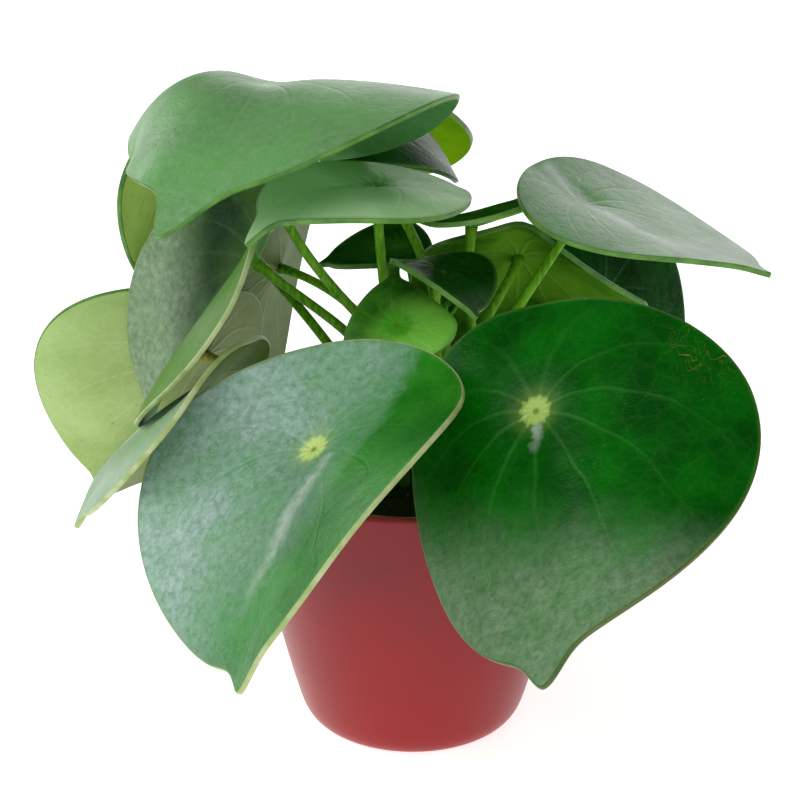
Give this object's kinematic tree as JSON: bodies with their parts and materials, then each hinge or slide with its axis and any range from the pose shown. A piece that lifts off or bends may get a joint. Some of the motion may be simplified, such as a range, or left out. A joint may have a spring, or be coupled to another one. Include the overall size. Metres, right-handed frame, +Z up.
{
  "type": "potted raindrop peperomia",
  "caption": "House plant with thick glossy raindrop-shaped leaves on long petioles, standing in a tapered dark red glazed pot filled with soil.",
  "frame": {"origin": "middle of the pot's flat base, on the ground plane", "axes": "+Z up along the pot's axis, -Y towards the viewer of the picture, +X to the viewer's right"},
  "size_m": [0.2368, 0.307, 0.2288],
  "materials": {
    "glazed_pot": "glossy dark cherry red glaze",
    "potting_soil": "dark crumbly potting soil",
    "stem_tissue": "olive green succulent stem",
    "leaf_dark": "glossy dark green succulent leaf",
    "leaf_olive": "pale olive green underside, matte"
  },
  "bodies": {
    "root": {"pot": "glazed_pot", "soil": "potting_soil", "stem": "stem_tissue", "leaf_front_left": "leaf_dark", "leaf_front_right": "leaf_dark", "leaf_top_front": "leaf_dark", "leaf_middle_band": "leaf_dark", "leaf_left_folded": "leaf_dark", "leaf_left_back": "leaf_olive", "leaf_left_low": "leaf_dark", "leaf_top_back": "leaf_olive", "leaf_left_hanging": "leaf_olive", "leaf_back_sheen": "leaf_dark", "leaf_back_olive": "leaf_olive", "leaf_centre_small": "leaf_dark", "leaf_right_under": "leaf_dark", "leaf_top_right": "leaf_dark", "leaf_right_dark": "leaf_dark", "leaf_centre_dark": "leaf_dark", "leaf_back_under": "leaf_dark", "leaf_edge_on": "leaf_dark"}
  },
  "joints": []
}
